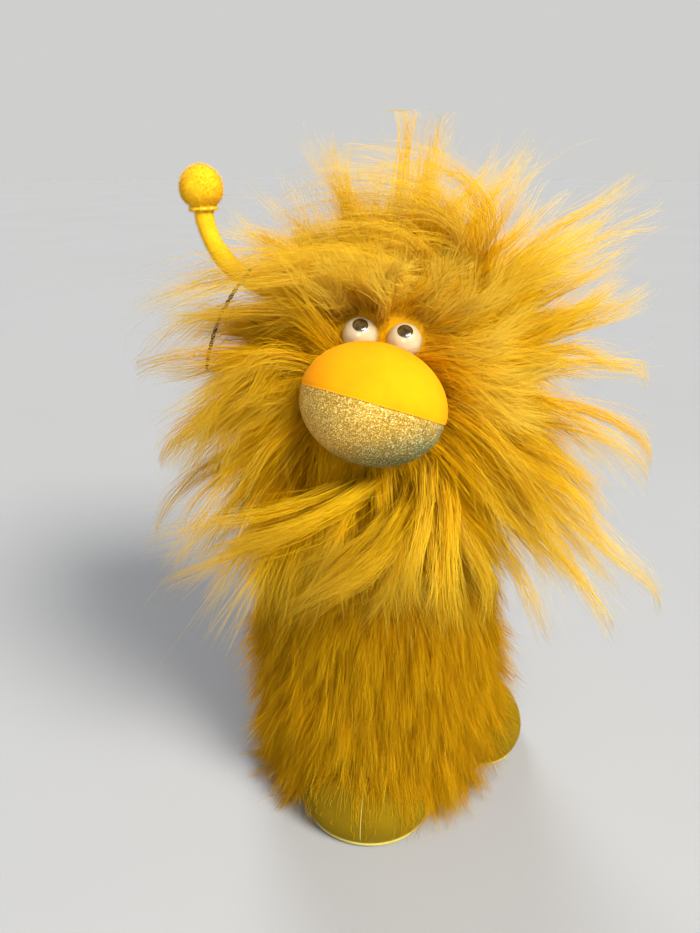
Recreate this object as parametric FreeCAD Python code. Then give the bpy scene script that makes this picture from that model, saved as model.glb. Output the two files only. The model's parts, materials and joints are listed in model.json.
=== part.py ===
import FreeCAD, Part
import math
import os

# A long-haired plush creature that stands on a weighted base.
# Millimetres, +Z up. Origin: centre of the flat base on the table. The face looks along -Y.
# "right" and "left" are the toy's own right (-X) and left (+X).

V = FreeCAD.Vector
X_AXIS, Y_AXIS, Z_AXIS = V(1, 0, 0), V(0, 1, 0), V(0, 0, 1)

# Driving dimensions
FABRIC = 1.5               # thickness of a sewn fabric with its backing
SOFT_GAP = 0.3             # gap between soft pieces
BODY_FRONT = -45.0         # direction the body's front faces, degrees from +X
BODY_SKIN_R = 46.0         # radius of the stuffed body under its pile
BASE_R = 42.0
BOARD_T = 2.5
BAG_TOP = 30.0             # top of the pellet bag
STUFFING_TOP = 131.0
DISC_R = 21.0              # hardboard neck discs
DISC_T = 3.0
BOLT_R = 3.0
BOLT_ROOM_R = 9.0          # hollow in both stuffings for the bolt's ends
WASHER_R = 7.5
NUT_CORNERS = 11.0         # across the corners of the nut and the bolt's head
RUNNING = 0.05             # radial running clearance of the neck bolt
LAID = 0.1                 # gap between plates that lie on each other
NECK_Z = 137.15            # plane on which the head turns
SKULL = V(46, 44, 54)      # half-axes of the stuffed head
SKULL_Z = 190.0
MANE_LINE = [(58, 124), (77, 139), (87, 170), (88, 205), (79, 237), (56, 261), (28, 272.5), (6, 276)]
MANE_MIDDLE = V(2.5, 5, 194)
MANE_HALF_DEPTH = 77.0     # the mane keeps to an oval in side view
MANE_HALF_HEIGHT = 112.0
FACE_BOWL = V(34, 40, 32)  # half-axes of the hollow in the mane round the face
FACE_BOWL_CENTRE = V(-4, -72, 207)
SNOUT = V(25.1, 22.0, 20.6)
SNOUT_CENTRE = V(-6.3, -60, 201)
SNOUT_PITCH = -19.0        # the nose points up by this much
SNOUT_ROLL = 16.0          # and leans towards the toy's left
EYE_R = 6.3
EYE_AT = {"right": V(-10.5, -41, 220), "left": V(4.8, -41.5, 218)}
LOOK_UP = 50.0             # direction of the pupils above level
PUPIL_R = 2.9
SHANK_R = 1.6              # plastic peg behind each eye
SHANK_LENGTH = 17.0
EYE_WASHER_R = 4.5
EYE_WASHER_AT = 13.2       # distance of the washer from the middle of the eye
STALK_R = 3.45             # antenna stalk
STALK_CORE_R = 2.3
STALK_BEND_R = {"right": 31.0, "left": 20.0}
STALK_BEND = {"right": 90.0, "left": 150.0}
STALK_START = {"right": 0.0, "left": 60.0}   # heading of the root above level
STALK_TURN = {"right": 180.0, "left": 55.0}  # plan direction of the stalk
STALK_ROOT = {"right": V(-37.5, -5, 229), "left": V(43.5, 3, 220)}
BALL_R = 7.6
BALL_NECK = 6.6            # from the end of the stalk to the middle of the ball
FOOT_DIRECTION = {"right": -98.0, "left": 4.0}
FOOT = V(23, 29, 17)       # half-axes: length, width, height
FOOT_CENTRE = {"right": V(47, 0, 11), "left": V(50.5, 0, 11)}
FOOT_HEEL = 46.6           # distance of the heel seam from the body's axis
FOOT_TRAVEL = 12.0         # degrees that a toe lifts
FOOT_ROOM = V(2.5, 2.5, 7.5)  # space between a foot and the pile along each half-axis
CORD_R = 0.7
CORD_BEND_R = 70.0
CORD_MIDDLE = V(0, -20, 190)
CORD_START, CORD_END = 10.0, 44.0    # angles of its ends above level
FAR = 200.0                # larger than the whole toy's reach from its middle


def ellipsoid(half, centre=V(0, 0, 0)):
    matrix = FreeCAD.Matrix()
    matrix.scale(half)
    solid = Part.makeSphere(1.0).transformGeometry(matrix)
    solid.translate(centre)
    return solid


def grown(half, amount):
    return V(half.x + amount, half.y + amount, half.z + amount)


def disc(radius, bottom, top, hole=0.0):
    solid = Part.makeCylinder(radius, top - bottom, V(0, 0, bottom))
    if hole:
        solid = solid.cut(Part.makeCylinder(hole, top - bottom + 2, V(0, 0, bottom - 1)))
    return solid


def hexagon(across_corners, bottom, top):
    radius = across_corners / 2
    corners = [V(radius * math.cos(math.radians(a)), radius * math.sin(math.radians(a)), bottom)
               for a in range(0, 361, 60)]
    return Part.Face(Part.makePolygon(corners)).extrude(V(0, 0, top - bottom))


def half_space(point, normal):
    """A large box that fills the side of a plane that its normal points to."""
    size = 800.0
    box = Part.makeBox(size, size, size, V(-size / 2, -size / 2, 0))
    box.Placement = FreeCAD.Placement(point, FreeCAD.Rotation(Z_AXIS, normal))
    return box


def smooth_line(line):
    curve = Part.BSplineCurve()
    curve.interpolate([V(r, 0, z) for r, z in line])
    return curve.toShape()


def straight_line(*points):
    return Part.makePolygon([V(r, 0, z) for r, z in points]).Edges


def turned_band(inner, outer, start, angle):
    """Turns the band between two smooth (radius, height) lines about Z."""
    edges = [smooth_line(inner), smooth_line(outer)]
    edges += straight_line(inner[0], outer[0]) + straight_line(inner[-1], outer[-1])
    face = Part.Face(Part.Wire(Part.__sortEdges__(edges)))
    face.rotate(V(0, 0, 0), Z_AXIS, start)
    return face.revolve(V(0, 0, 0), Z_AXIS, angle)


def turned_solid(line):
    """Turns everything inside a smooth (radius, height) line about Z."""
    edges = [smooth_line(line)] + straight_line(line[0], (0, line[0][1]), (0, line[-1][1]), line[-1])
    face = Part.Face(Part.Wire(Part.__sortEdges__(edges)))
    return face.revolve(V(0, 0, 0), Z_AXIS, 360)


# ---------------------------------------------------------------- body

SKIN_LINE = [(BASE_R + 0.5, 1.6), (BODY_SKIN_R - 1, 20), (BODY_SKIN_R, 60),
             (BODY_SKIN_R - 3, 105), (35, 124), (23.5, 133.5)]
PILE_LINE = [(61.5, 1.6), (64.5, 22), (63.5, 60), (60, 100), (47, 123), (25, 136.6)]


def inset(line, amount):
    return [(r - amount, z) for r, z in line]


def foot_clearance(side):
    """Room for a foot at every point of its travel, outside the body's skin."""
    room = ellipsoid(FOOT + FOOT_ROOM, FOOT_CENTRE[side])
    room = room.common(half_space(V(0, 0, 0), X_AXIS))
    room = room.cut(disc(BODY_SKIN_R + 0.2, -FAR, FAR))
    room.rotate(V(0, 0, 0), Z_AXIS, FOOT_DIRECTION[side])
    return room


def body_panel(middle):
    """Half of the body's sleeve: fabric and pile, from seam to seam."""
    panel = turned_band(inset(SKIN_LINE, FABRIC), PILE_LINE, middle - 90, 180)
    for side in FOOT_DIRECTION:
        panel = panel.cut(foot_clearance(side))
    return panel


def body_parts():
    board_bottom = FABRIC
    bag_bottom = board_bottom + BOARD_T + SOFT_GAP
    parts = {
        "body_panel_front": body_panel(BODY_FRONT),
        "body_panel_back": body_panel(BODY_FRONT + 180),
        "base_cover": disc(BASE_R - 1.6, 0, FABRIC - LAID),
        "base_board": disc(BASE_R - 2, board_bottom, board_bottom + BOARD_T),
    }
    bag = disc(BASE_R - 1.8, bag_bottom, BAG_TOP)
    rims = [edge for edge in bag.Edges if edge.Curve.TypeId == "Part::GeomCircle"]
    parts["pellet_bag"] = bag.makeFillet(6.0, rims)
    stuffing = turned_solid(inset(SKIN_LINE, FABRIC + SOFT_GAP))
    stuffing = stuffing.common(disc(FAR, BAG_TOP + SOFT_GAP, STUFFING_TOP))
    parts["body_stuffing"] = stuffing.cut(disc(BOLT_ROOM_R, STUFFING_TOP - 8, FAR))
    return parts


# ---------------------------------------------------------------- neck joint

def neck_parts():
    """Two hardboard discs on one bolt, with a cloth cap between each disc and the neck plane."""
    washer_t = 1.0
    nut_t = 4.0
    bolt_head_t = 3.0
    hole = BOLT_R + RUNNING
    cap_hole = BOLT_R + 0.5
    lower = STUFFING_TOP + SOFT_GAP
    washer_low = lower - LAID - washer_t
    shank_low = washer_low - LAID
    cap_low = lower + DISC_T + LAID
    cap_high = NECK_Z + SOFT_GAP / 2
    upper = cap_high + FABRIC + LAID
    washer_high = upper + DISC_T + LAID
    nut_low = upper + DISC_T + washer_t + 2 * SOFT_GAP
    shank = disc(BOLT_R, shank_low, nut_low + nut_t + 2)
    bolt_head = hexagon(NUT_CORNERS, shank_low - bolt_head_t, shank_low)
    return {
        "neck_disc_lower": disc(DISC_R, lower, lower + DISC_T, hole),
        "neck_washer_lower": disc(WASHER_R, washer_low, lower - LAID, hole),
        "neck_bolt": shank.fuse(bolt_head).removeSplitter(),
        "neck_locknut": hexagon(NUT_CORNERS, nut_low, nut_low + nut_t).cut(disc(hole, 0, FAR)),
        "body_neck_cap": disc(DISC_R, cap_low, NECK_Z - SOFT_GAP / 2, cap_hole),
        "head_neck_cap": disc(DISC_R, cap_high, cap_high + FABRIC, cap_hole),
        "neck_disc_upper": disc(DISC_R, upper, upper + DISC_T, hole),
        "neck_washer_upper": disc(WASHER_R, washer_high, washer_high + washer_t, hole),
    }, upper + DISC_T + SOFT_GAP


# ---------------------------------------------------------------- antennae

def round_face(radius, heading):
    """A round face at the origin that looks along heading, an angle above level in the XZ plane."""
    edge = Part.makeCircle(radius, V(0, 0, 0), V(math.cos(heading), 0, math.sin(heading)))
    return Part.Face(Part.Wire(edge))


def stalk_arc(side, outer, inner):
    """The bent stalk in its own plane: root at the origin, x outward, z up."""
    bend_r = STALK_BEND_R[side]
    heading = math.radians(STALK_START[side])
    turn = 1 if side == "right" else -1
    centre = V(-math.sin(heading) * turn * bend_r, 0, math.cos(heading) * turn * bend_r)
    section = round_face(outer, heading)
    if inner:
        section = section.cut(round_face(inner, heading)).Faces[0]
    return section.revolve(centre, V(0, -turn, 0), STALK_BEND[side])


def stalk_end(side):
    """The stalk's far end and the direction it points in, in the stalk's own plane."""
    bend_r = STALK_BEND_R[side]
    turn = 1 if side == "right" else -1
    start = math.radians(STALK_START[side])
    heading = start + turn * math.radians(STALK_BEND[side])
    x = turn * bend_r * (math.sin(heading) - math.sin(start))
    z = -turn * bend_r * (math.cos(heading) - math.cos(start))
    return V(x, 0, z), V(math.cos(heading), 0, math.sin(heading))


def place_antenna(shape, side):
    shape.rotate(V(0, 0, 0), Z_AXIS, STALK_TURN[side])
    shape.translate(STALK_ROOT[side])
    return shape


def antenna_parts(side):
    tip, out = stalk_end(side)
    centre = tip + out * BALL_NECK
    ball = Part.makeSphere(BALL_R, centre).common(half_space(tip, out))
    thread_r = 0.6
    ring = Part.makeTorus(STALK_R + thread_r + 0.25, thread_r, tip - out * (thread_r + 0.3), out)
    name = "antenna_" + side
    parts = {
        name + "_stalk": stalk_arc(side, STALK_R, STALK_CORE_R + 0.1),
        name + "_core": stalk_arc(side, STALK_CORE_R, 0),
        name + "_ball": ball,
        name + "_thread": ring,
    }
    return {key: place_antenna(shape, side) for key, shape in parts.items()}


def antenna_clearance(side):
    """Room in the mane for an antenna at every point of its travel."""
    if side == "left":
        half_width = BALL_R + 1.0
        bend_r = STALK_BEND_R[side]
        heading = math.radians(STALK_START[side])
        centre = V(math.sin(heading) * bend_r, -half_width, -math.cos(heading) * bend_r)
        reach = bend_r + BALL_R + 8.9
        room = Part.makeCylinder(reach, 2 * half_width, centre, Y_AXIS)
    else:
        half_width = STALK_R + 1.0
        outline = [(-6, -5), (21, -11), (60, 14), (60, 75), (7, 75), (7, 34), (5, 13), (-6, 5.5)]
        corners = [V(x, -half_width, z) for x, z in outline + outline[:1]]
        room = Part.Face(Part.makePolygon(corners)).extrude(V(0, 2 * half_width, 0))
    return place_antenna(room, side)


# ---------------------------------------------------------------- head

def skull(extra):
    return ellipsoid(grown(SKULL, extra), V(0, 0, SKULL_Z))


def place_snout(shape):
    shape.rotate(V(0, 0, 0), Y_AXIS, SNOUT_ROLL)
    shape.rotate(V(0, 0, 0), X_AXIS, SNOUT_PITCH)
    shape.translate(SNOUT_CENTRE)
    return shape


def snout_parts():
    face = skull(FABRIC + 2 * SOFT_GAP)
    outer = ellipsoid(SNOUT)
    inner = ellipsoid(grown(SNOUT, -FABRIC))
    shell = outer.cut(inner)
    eyes = [Part.makeSphere(EYE_R + SOFT_GAP, eye_frame(side)[0]) for side in EYE_AT]
    upper = place_snout(shell.common(half_space(V(0, 0, 0.05), Z_AXIS))).cut(face).cut(eyes)
    lower = place_snout(shell.common(half_space(V(0, 0, -0.05), V(0, 0, -1)))).cut(face)
    fill = place_snout(ellipsoid(grown(SNOUT, -FABRIC - SOFT_GAP))).cut(face).cut(eyes)
    return {"snout_panel_upper": upper, "snout_panel_lower": lower, "snout_stuffing": fill}


def eye_frame(side):
    centre = EYE_AT[side]
    inward = V(0, 0, SKULL_Z) - centre
    inward.normalize()
    return centre, inward


def eye_parts():
    parts = {}
    washers = []
    look = V(0, -math.cos(math.radians(LOOK_UP)), math.sin(math.radians(LOOK_UP)))
    for side in EYE_AT:
        centre, inward = eye_frame(side)
        ball = Part.makeSphere(EYE_R, centre).cut(skull(FABRIC + 2 * SOFT_GAP))
        shank = Part.makeCylinder(SHANK_R, SHANK_LENGTH, centre, inward)
        pupil = Part.makeCylinder(PUPIL_R, 10, centre, look).common(Part.makeSphere(EYE_R, centre))
        pupil = pupil.cut(Part.makeSphere(EYE_R - 0.5, centre))
        parts["eye_ball_" + side] = ball.cut(pupil).fuse(shank).removeSplitter()
        parts["eye_pupil_" + side] = pupil
        ring = Part.makeCylinder(EYE_WASHER_R, 1.5, centre + inward * EYE_WASHER_AT, inward)
        washers.append(ring.cut(Part.makeCylinder(SHANK_R + RUNNING, SHANK_LENGTH, centre, inward)))
    parts["eye_washers"] = Part.makeCompound(washers)
    return parts


def eye_pockets(radius):
    """Round holes behind both eyes, for their pegs and washers."""
    pockets = []
    for side in EYE_AT:
        centre, inward = eye_frame(side)
        pockets.append(Part.makeCylinder(radius, SHANK_LENGTH + 3, centre, inward))
    return Part.makeCompound(pockets)


def flank_cord():
    """A thin dark cord laid over the head's right flank, in the pile."""
    ring = Part.makeTorus(CORD_BEND_R, CORD_R, V(0, 0, 0), Y_AXIS)
    above_start = Part.makeBox(FAR, 4, FAR, V(-FAR, -2, 0))
    above_start.rotate(V(0, 0, 0), Y_AXIS, CORD_START)
    below_end = Part.makeBox(FAR, 4, FAR, V(-FAR, -2, -FAR))
    below_end.rotate(V(0, 0, 0), Y_AXIS, CORD_END)
    cord = ring.common(above_start).common(below_end)
    cord.translate(CORD_MIDDLE)
    return cord


def side_oval():
    """Everything inside the oval that the mane fills in side view."""
    middle = V(-FAR, MANE_MIDDLE.y, MANE_MIDDLE.z)
    oval = Part.Ellipse(middle + Z_AXIS * MANE_HALF_HEIGHT, middle + Y_AXIS * MANE_HALF_DEPTH, middle)
    return Part.Face(Part.Wire(oval.toShape())).extrude(X_AXIS * 2 * FAR)


def mane(fill_bottom):
    """The head's sewn cover with its pile, in one piece, with room for all that it holds."""
    body_room = turned_solid([(r + 1.2, z + 1.0) for r, z in PILE_LINE])
    shell = turned_solid(MANE_LINE)
    shell.translate(X_AXIS * MANE_MIDDLE.x)
    shell = shell.common(side_oval()).cut(skull(SOFT_GAP)).cut(body_room)
    shell = shell.cut(disc(DISC_R + 0.4, 0, fill_bottom))
    rooms = [ellipsoid(FACE_BOWL, FACE_BOWL_CENTRE), place_snout(ellipsoid(grown(SNOUT, 1.0)))]
    rooms += [Part.makeSphere(EYE_R + 0.5, eye_frame(side)[0]) for side in EYE_AT]
    rooms += [antenna_clearance(side) for side in STALK_ROOT]
    cloth = skull(FABRIC + SOFT_GAP)
    for room in rooms:
        shell = shell.cut(room.cut(cloth))
    return shell.cut(eye_pockets(SHANK_R + SOFT_GAP))


def head_parts(fill_bottom):
    stuffing = skull(0).common(disc(FAR, fill_bottom, FAR + SKULL_Z))
    bolt_room = disc(BOLT_ROOM_R, NECK_Z, fill_bottom + 8)
    stuffing = stuffing.cut(bolt_room).cut(eye_pockets(EYE_WASHER_R + 1))
    shell = mane(fill_bottom)
    return {
        "head_stuffing": stuffing,
        "head_panel_front": shell.common(half_space(V(0, 0, 0), V(0, -1, 0))),
        "head_panel_back": shell.common(half_space(V(0, 0, 0), Y_AXIS)),
        "flank_cord": flank_cord(),
    }


# ---------------------------------------------------------------- feet

def foot_parts(side):
    heel_lean = math.radians(FOOT_TRAVEL + 2)   # so that the heel clears the body with the toe lifted
    heel = half_space(V(FOOT_HEEL, 0, 0), V(math.cos(heel_lean), 0, -math.sin(heel_lean)))
    outer = ellipsoid(FOOT, FOOT_CENTRE[side]).common(heel)
    inner = ellipsoid(grown(FOOT, -FABRIC), FOOT_CENTRE[side])
    above = half_space(V(0, 0, FABRIC + 0.05), Z_AXIS)
    below = half_space(V(0, 0, 0), Z_AXIS).cut(half_space(V(0, 0, FABRIC), Z_AXIS))
    filling = ellipsoid(grown(FOOT, -FABRIC - SOFT_GAP), FOOT_CENTRE[side]).common(heel)
    name = "foot_" + side
    parts = {
        name + "_upper": outer.cut(inner).common(above),
        name + "_sole": outer.common(below),
        name + "_stuffing": filling.common(half_space(V(0, 0, FABRIC + SOFT_GAP), Z_AXIS)),
    }
    for shape in parts.values():
        shape.rotate(V(0, 0, 0), Z_AXIS, FOOT_DIRECTION[side])
    return parts


def main():
    parts = body_parts()
    neck, fill_bottom = neck_parts()
    parts.update(neck)
    parts.update(head_parts(fill_bottom))
    parts.update(snout_parts())
    parts.update(eye_parts())
    for side in ("right", "left"):
        parts.update(antenna_parts(side))
        parts.update(foot_parts(side))
    os.makedirs("parts", exist_ok=True)
    for name, shape in parts.items():
        solids = Part.makeCompound(shape.Solids) if len(shape.Solids) > 1 else shape.Solids[0]
        solids.exportStep("parts/" + name + ".step")


main()
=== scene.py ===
import json
import math

import bpy
import numpy as np
from mathutils import Matrix, Vector


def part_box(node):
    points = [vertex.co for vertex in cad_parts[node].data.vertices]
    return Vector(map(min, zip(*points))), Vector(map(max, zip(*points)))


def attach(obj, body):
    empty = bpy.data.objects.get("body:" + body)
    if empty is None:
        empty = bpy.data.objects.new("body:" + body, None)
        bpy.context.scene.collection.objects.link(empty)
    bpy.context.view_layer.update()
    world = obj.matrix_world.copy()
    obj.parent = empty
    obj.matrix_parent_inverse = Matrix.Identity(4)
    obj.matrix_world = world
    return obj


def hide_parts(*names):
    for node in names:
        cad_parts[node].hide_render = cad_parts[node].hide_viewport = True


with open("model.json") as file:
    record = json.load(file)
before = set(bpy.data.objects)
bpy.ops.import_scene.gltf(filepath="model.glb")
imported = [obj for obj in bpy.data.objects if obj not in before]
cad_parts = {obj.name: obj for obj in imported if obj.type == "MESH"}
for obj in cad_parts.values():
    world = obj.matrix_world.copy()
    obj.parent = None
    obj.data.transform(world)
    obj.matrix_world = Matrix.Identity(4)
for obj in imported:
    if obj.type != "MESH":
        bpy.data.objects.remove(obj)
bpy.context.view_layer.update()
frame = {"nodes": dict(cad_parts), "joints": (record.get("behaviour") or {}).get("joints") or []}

MM = 0.001

# ------------------------------------------------------------------ places, from the frame where it gives them


def span(*nodes):
    """Lowest and highest corner of some CAD nodes together."""
    boxes = [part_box(node) for node in nodes]
    low = np.min([np.array(b[0]) for b in boxes], axis=0)
    high = np.max([np.array(b[1]) for b in boxes], axis=0)
    return low, high


def joint(name):
    """Where a joint is, and its axis."""
    found = [j for j in frame["joints"] if j["name"] == name][0]
    return np.array(found["pos_m"]), np.array(found["axis"], float)


low, high = span("head_stuffing")
SKULL_TALL = 54 * MM                       # half height of the stuffed head
SKULL = np.array([high[0], high[1], SKULL_TALL])
SKULL_AT = np.array([0, 0, high[2] - SKULL_TALL])
MANE_TOP = span("head_panel_front", "head_panel_back")[1][2]
BODY_SKIN_R = span("body_stuffing", "pellet_bag")[1][0] + 1.8 * MM
low, high = span("body_panel_front", "body_panel_back")
PILE_R, BODY_TOP = high[0], high[2]
low, high = span("snout_panel_upper", "snout_panel_lower")
SNOUT_HALF = np.array([25.1, 22.0, 20.6]) * MM     # half-axes before it is turned
SNOUT_AT = np.array([(low[0] + high[0]) / 2, low[1] + 21.9 * MM, (low[2] + high[2]) / 2])
SNOUT_PITCH, SNOUT_ROLL = -19.0, 16.0
EYE_R = 6.3 * MM
EYES = {}
for side in ("right", "left"):
    low, high = span("eye_ball_" + side)
    EYES[side] = np.array([(low[0] + high[0]) / 2, low[1] + EYE_R, high[2] - EYE_R])
PUPIL_R = 2.9 * MM
LOOK_UP = math.radians(50)                 # how far the pupils look up
FOOT_HALF = np.array([23.0, 29.0, 17.0]) * MM
FOOT_MIDDLE = {"right": np.array([47.0, 0.0, 11.0]) * MM, "left": np.array([50.5, 0.0, 11.0]) * MM}
FOOT_HEEL = 46.6 * MM                      # from the body's axis to the heel seam
FOOT_BOTTOM, WELT_Z = 1.5 * MM, 2.4 * MM
CORD_BEND_R = 70 * MM
PLY_R, PLY_OFF = 0.42 * MM, 0.36 * MM      # a ply of the cord, and how far it lies from the cord's middle
STALK_R = 3.45 * MM
# bend radius, bend and start angle in degrees, which way it bends, and the joint's facing
STALK_BENDS = {"right": (31 * MM, 90.0, 0.0, 1, -1), "left": (20 * MM, 150.0, 60.0, -1, 1)}
# the ball on a stalk: distance along it, radius there, and how much its gathering ruffles it
KNOB_ALONG = np.array([-1.6, -0.9, 0.0, 0.5, 1.6, 3.2, 5.2, 7.4, 9.6, 11.6, 13.0, 13.9, 14.2]) * MM
KNOB_R = np.array([4.9, 5.1, 4.2, 4.9, 6.2, 7.3, 7.7, 7.65, 7.0, 5.6, 3.9, 1.9, 0.3]) * MM
KNOB_RUFFLE = np.array([0.14, 0.12, 0.04, 0.07, 0.035, 0.015, 0.004, 0, 0, 0, 0, 0, 0])


def unit(v):
    return v / np.maximum(np.linalg.norm(v, axis=-1, keepdims=True), 1e-12)


def smooth(x, low=0.0, high=1.0):
    t = np.clip((x - low) / (high - low), 0, 1)
    return t * t * (3 - 2 * t)


def turn(degrees, axis):
    return np.array(Matrix.Rotation(math.radians(degrees), 3, axis))


SNOUT_TURN = turn(SNOUT_PITCH, "X") @ turn(SNOUT_ROLL, "Y")

# ------------------------------------------------------------------ materials


class Nodes:
    """Short calls that add nodes to one material."""

    def __init__(self, name):
        self.material = bpy.data.materials.new(name)
        self.material.use_nodes = True
        self.tree = self.material.node_tree
        self.shader = self.tree.nodes["Principled BSDF"]

    def add(self, kind, **settings):
        node = self.tree.nodes.new("ShaderNode" + kind)
        for key, value in settings.items():
            if hasattr(node, key):
                setattr(node, key, value)
            else:
                node.inputs[key.replace("_", " ")].default_value = value
        return node

    def link(self, output, target):
        self.tree.links.new(output, target)

    def set(self, **values):
        for key, value in values.items():
            self.shader.inputs[key.replace("_", " ")].default_value = value

    def place(self):
        return self.add("TexCoord").outputs["Object"]

    def feed(self, value, socket):
        """Links an output to a socket, or sets the socket to a plain value."""
        if isinstance(value, bpy.types.NodeSocket):
            self.link(value, socket)
        elif socket.type == "RGBA":
            socket.default_value = (*value, 1)
        else:
            socket.default_value = value

    def noise(self, scale, detail):
        node = self.add("TexNoise", Scale=scale, Detail=detail, Roughness=0.6)
        self.link(self.place(), node.inputs["Vector"])
        return node.outputs["Fac"]

    def ramp(self, factor, stops):
        node = self.add("ValToRGB")
        while len(node.color_ramp.elements) < len(stops):
            node.color_ramp.elements.new(0.5)
        for element, (position, colour) in zip(node.color_ramp.elements, stops):
            element.position = position
            element.color = (*colour, 1)
        self.link(factor, node.inputs["Fac"])
        return node.outputs["Color"]

    def mix(self, factor, first, second):
        node = self.add("MixRGB")
        for value, socket in ((factor, "Fac"), (first, "Color1"), (second, "Color2")):
            self.feed(value, node.inputs[socket])
        return node.outputs["Color"]

    def maths(self, operation, first, second):
        node = self.add("Math", operation=operation)
        self.feed(first, node.inputs[0])
        self.feed(second, node.inputs[1])
        return node.outputs[0]

    def bump(self, height, strength, distance):
        node = self.add("Bump", Strength=strength, Distance=distance)
        self.link(height, node.inputs["Height"])
        self.link(node.outputs["Normal"], self.shader.inputs["Normal"])

    def colour(self, output):
        self.link(output, self.shader.inputs["Base Color"])


GLOW_SHARE = 0.45          # the part of a strand's light that shines through it


def fur_material(name, root, middle, tip, dark, light):
    """Strand colour from root to tip, with its own shade value in every strand, which on the head also carries
    painted shade low down and under the snout and painted light over the brow, and slow changes over the coat.
    """
    m = Nodes(name)
    along = m.add("Attribute", attribute_name="along").outputs["Fac"]
    shade = m.add("Attribute", attribute_name="shade").outputs["Fac"]
    length = m.ramp(along, [(0.0, root), (0.45, middle), (1.0, tip)])
    own = m.ramp(shade, [(0.0, dark), (0.5, middle), (1.0, light)])
    patch = m.ramp(m.noise(30.0, 2.0), [(0.4, (0, 0, 0)), (0.7, (0.35, 0.35, 0.35))])
    colour = m.mix(patch, m.mix(0.5, length, own), dark)
    m.colour(colour)
    m.set(Roughness=0.6, Specular_IOR_Level=0.06)
    glow = m.tree.nodes.new("ShaderNodeBsdfTranslucent")
    m.link(colour, glow.inputs["Color"])
    both = m.tree.nodes.new("ShaderNodeMixShader")
    both.inputs["Fac"].default_value = GLOW_SHARE
    m.link(m.shader.outputs["BSDF"], both.inputs[1])
    m.link(glow.outputs["BSDF"], both.inputs[2])
    m.link(both.outputs["Shader"], m.tree.nodes["Material Output"].inputs["Surface"])
    return m.material


def undercoat_material():
    # The dark colour also gives the painted shade of the hair low on the head.
    return fur_material("undercoat", (0.90, 0.48, 0.001), (0.94, 0.60, 0.001), (0.94, 0.64, 0.006),
                        (0.64, 0.32, 0.001), (0.96, 0.67, 0.012))


def shaded_body_coat_materials():
    # Darker copies of the head's fur colours: painted shade for the body under the mane.
    under = fur_material("body_undercoat", (0.66, 0.32, 0.001), (0.76, 0.44, 0.001), (0.80, 0.49, 0.003),
                         (0.56, 0.27, 0.001), (0.86, 0.56, 0.006))
    points = fur_material("body_guard_hair", (0.74, 0.40, 0.001), (0.82, 0.52, 0.004), (0.86, 0.61, 0.025),
                          (0.62, 0.33, 0.001), (0.90, 0.66, 0.035))
    return under, points


def wisp_material():
    # The dark colour also gives the painted shade of the beard under the snout.
    return fur_material("guard_hair", (0.78, 0.43, 0.001), (0.93, 0.65, 0.012), (0.94, 0.76, 0.10),
                        (0.66, 0.38, 0.001), (0.96, 0.80, 0.15))


def velour_material(name, light, dark, sheen=(1.0, 0.85, 0.25, 1)):
    m = Nodes(name)
    fine = m.noise(2600.0, 2.0)
    broad = m.noise(90.0, 3.0)
    tone = m.mix(0.25, broad, fine)
    m.colour(m.ramp(tone, [(0.3, dark), (0.7, light)]))
    m.bump(fine, 0.35, 0.0003)
    m.set(Roughness=0.9, Sheen_Weight=0.22, Sheen_Roughness=0.35, Sheen_Tint=sheen, Specular_IOR_Level=0.1)
    return m.material


def lame_material():
    """Knitted metallic thread: grains that glint their own way, with painted glints in the brightest grains' colour,
    gold above that turns grey-green below.
    """
    m = Nodes("lame")
    place = m.place()
    cells = m.add("TexVoronoi", Scale=3300.0)
    m.link(place, cells.inputs["Vector"])
    grain = m.add("SeparateColor")
    m.link(cells.outputs["Color"], grain.inputs["Color"])
    axes = m.add("SeparateXYZ")
    m.link(place, axes.inputs["Vector"])
    across = m.maths("MULTIPLY", m.maths("SUBTRACT", axes.outputs["X"], float(SNOUT_AT[0])), 14.0)
    down = m.maths("MULTIPLY", m.maths("SUBTRACT", float(SNOUT_AT[2]), axes.outputs["Z"]), 38.0)
    drift = m.maths("ADD", m.maths("ADD", across, down), m.maths("MULTIPLY", m.noise(60.0, 3.0), 0.7))
    # The brightest grain colours in both ramps are painted glints.
    gold = m.ramp(grain.outputs["Red"], [(0.0, (0.26, 0.14, 0.01)), (0.55, (0.52, 0.31, 0.035)),
                                          (0.90, (0.85, 0.58, 0.12)), (1.0, (1.0, 0.92, 0.50))])
    silver = m.ramp(grain.outputs["Red"], [(0.0, (0.05, 0.055, 0.012)), (0.55, (0.14, 0.155, 0.05)),
                                            (0.90, (0.30, 0.34, 0.16)), (1.0, (0.84, 0.93, 0.66))])
    m.colour(m.mix(m.ramp(drift, [(0.50, (0, 0, 0)), (0.98, (1, 1, 1))]), gold, silver))
    rough = m.add("MapRange")
    rough.inputs["To Min"].default_value = 0.30
    rough.inputs["To Max"].default_value = 0.62
    m.link(grain.outputs["Green"], rough.inputs["Value"])
    m.link(rough.outputs["Result"], m.shader.inputs["Roughness"])
    m.bump(grain.outputs["Blue"], 0.7, 0.0004)
    m.set(Metallic=0.45, Specular_IOR_Level=0.5)
    return m.material


def milk_material():
    m = Nodes("eye_milk")
    m.colour(m.ramp(m.noise(140.0, 2.0), [(0.3, (0.42, 0.34, 0.20)), (0.7, (0.52, 0.45, 0.30))]))
    m.set(Roughness=0.12, Coat_Weight=0.6, Coat_Roughness=0.04, Subsurface_Weight=0.35,
          Subsurface_Scale=0.004, Subsurface_Radius=(1.0, 0.75, 0.5))
    return m.material


def pupil_material():
    m = Nodes("eye_pupil")
    m.colour(m.ramp(m.noise(500.0, 3.0), [(0.35, (0.015, 0.010, 0.004)), (0.75, (0.09, 0.06, 0.02))]))
    m.set(Roughness=0.14, Coat_Weight=0.8, Coat_Roughness=0.03)
    return m.material


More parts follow.
